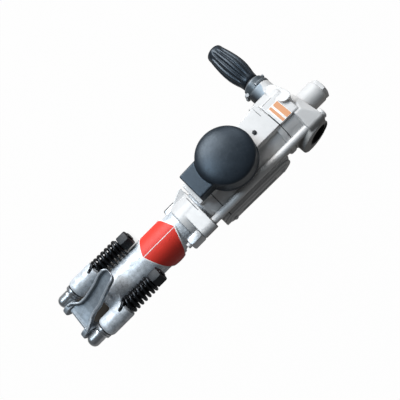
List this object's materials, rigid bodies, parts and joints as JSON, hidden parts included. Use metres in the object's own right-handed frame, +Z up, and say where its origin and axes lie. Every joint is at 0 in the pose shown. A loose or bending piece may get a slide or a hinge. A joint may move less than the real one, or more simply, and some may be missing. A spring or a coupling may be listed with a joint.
{
  "type": "hand-held pneumatic rock drill",
  "caption": "Hand-held pneumatic rock drill with sprung drill steel retainer, turning chuck, rubber exhaust muffler, side grip with throttle collar and swivelling air inlet.",
  "frame": {"origin": "middle of the base of the bounding box, on the surface the drill lies on", "axes": "+X along the drill axis from the chuck to the air inlet, +Y towards the side grip, +Z up, towards the exhaust muffler"},
  "size_m": [0.5518, 0.2496, 0.138],
  "materials": {
    "silver_paint": "satin silver-grey casting paint",
    "forged_steel": "bare forged steel, satin",
    "machined_steel": "machined and hardened",
    "black_steel": "black oxide, oiled",
    "bronze": "machined bronze",
    "black_rubber": "moulded black rubber, slightly glossy",
    "plated_steel": "zinc plated",
    "dark_steel": "dark bare steel, satin"
  },
  "bodies": {
    "casing": {"front_head": "forged_steel", "guide_bush": "bronze", "front_flange": "silver_paint", "cylinder": "silver_paint", "side_rod_near": "silver_paint", "side_rod_far": "silver_paint", "rod_nut_near": "plated_steel", "rod_nut_far": "plated_steel", "duct_cover": "silver_paint", "duct_screw_front": "plated_steel", "duct_screw_back": "plated_steel", "oil_plug": "black_steel", "back_head": "silver_paint", "valve_chest": "machined_steel", "valve_cover": "machined_steel", "ratchet_ring": "machined_steel", "handle_bar": "machined_steel", "handle_nut": "plated_steel", "grip": "black_rubber", "inlet_gland": "machined_steel", "retainer_spring_near": "black_steel", "retainer_spring_far": "black_steel"},
    "retainer_bolts": {"retainer_bolt_near": "forged_steel", "retainer_bolt_far": "forged_steel", "bolt_collar_near": "forged_steel", "bolt_collar_far": "forged_steel", "retainer_pin_near": "machined_steel", "retainer_pin_far": "machined_steel", "retainer_nut_near": "black_steel", "retainer_nut_far": "black_steel"},
    "retainer_yoke": {"retainer": "forged_steel"},
    "chuck": {"chuck_sleeve": "machined_steel", "hex_bush": "machined_steel", "chuck_nut": "bronze"},
    "hammer": {"piston": "machined_steel", "rifle_nut": "bronze"},
    "rifling": {"rifle_bar": "machined_steel", "pawl_spring_1": "machined_steel", "pawl_spring_2": "machined_steel", "pawl_spring_3": "machined_steel", "pawl_spring_4": "machined_steel"},
    "pawl_body_1": {"pawl_1": "machined_steel"},
    "pawl_body_2": {"pawl_2": "machined_steel"},
    "pawl_body_3": {"pawl_3": "machined_steel"},
    "pawl_body_4": {"pawl_4": "machined_steel"},
    "valve": {"ring_valve": "machined_steel"},
    "throttle": {"throttle_spool": "machined_steel", "throttle_collar": "dark_steel", "pinch_bolt": "machined_steel"},
    "inlet": {"air_inlet": "silver_paint"},
    "muffler": {"muffler_cap": "black_rubber"}
  },
  "joints": [
    {"name": "retainer_bolt_slide", "type": "slide", "parent": "casing", "child": "retainer_bolts", "axis": [-1, 0, 0], "range_m": [0, 0.01], "stiffness_N_per_m": 9000, "springref_m": -0.008, "deforming": ["retainer_spring_near", "retainer_spring_far"]},
    {"name": "retainer_swing", "type": "hinge", "parent": "retainer_bolts", "child": "retainer_yoke", "pos_m": [-0.26305, -0.06675, 0.0782], "axis": [0, -1, 0], "range_deg": [0, 100]},
    {"name": "chuck_rotation", "type": "hinge", "parent": "casing", "child": "chuck", "pos_m": [-0.1011, -0.06675, 0.048], "axis": [1, 0, 0], "continuous": true},
    {"name": "piston_stroke", "type": "slide", "parent": "chuck", "child": "hammer", "axis": [1, 0, 0], "range_m": [0, 0.06]},
    {"name": "rifle_turn", "type": "hinge", "parent": "chuck", "child": "rifling", "pos_m": [0.0989, -0.06675, 0.048], "axis": [1, 0, 0], "range_deg": [-25.1, 0]},
    {"name": "valve_shift", "type": "slide", "parent": "casing", "child": "valve", "axis": [1, 0, 0], "range_m": [0, 0.0022]},
    {"name": "throttle_turn", "type": "hinge", "parent": "casing", "child": "throttle", "pos_m": [0.2074, 0.01825, 0.048], "axis": [0, 1, 0], "range_deg": [-60, 0]},
    {"name": "air_inlet_swivel", "type": "hinge", "parent": "casing", "child": "inlet", "pos_m": [0.2589, -0.06675, 0.048], "axis": [1, 0, 0], "continuous": true},
    {"name": "muffler_turn", "type": "hinge", "parent": "casing", "child": "muffler", "pos_m": [0.0779, -0.06175, 0.108], "axis": [0, 0, 1], "continuous": true},
    {"name": "pawl_swing_1", "type": "hinge", "parent": "rifling", "child": "pawl_body_1", "pos_m": [0.1681, -0.04975, 0.048], "axis": [1, 0, 0], "range_deg": [0, 8], "stiffness_Nm_per_rad": 0.02, "springref_deg": -5.73, "deforming": ["pawl_spring_1"]},
    {"name": "pawl_swing_2", "type": "hinge", "parent": "rifling", "child": "pawl_body_2", "pos_m": [0.1681, -0.06675, 0.065], "axis": [1, 0, 0], "range_deg": [0, 8], "stiffness_Nm_per_rad": 0.02, "springref_deg": -5.73, "deforming": ["pawl_spring_2"]},
    {"name": "pawl_swing_3", "type": "hinge", "parent": "rifling", "child": "pawl_body_3", "pos_m": [0.1681, -0.08375, 0.048], "axis": [1, 0, 0], "range_deg": [0, 8], "stiffness_Nm_per_rad": 0.02, "springref_deg": -5.73, "deforming": ["pawl_spring_3"]},
    {"name": "pawl_swing_4", "type": "hinge", "parent": "rifling", "child": "pawl_body_4", "pos_m": [0.1681, -0.06675, 0.031], "axis": [1, 0, 0], "range_deg": [0, 8], "stiffness_Nm_per_rad": 0.02, "springref_deg": -5.73, "deforming": ["pawl_spring_4"]}
  ],
  "couplings": [
    {"joint": "rifle_turn", "follows": "piston_stroke", "rad_per_m": -7.2722}
  ]
}
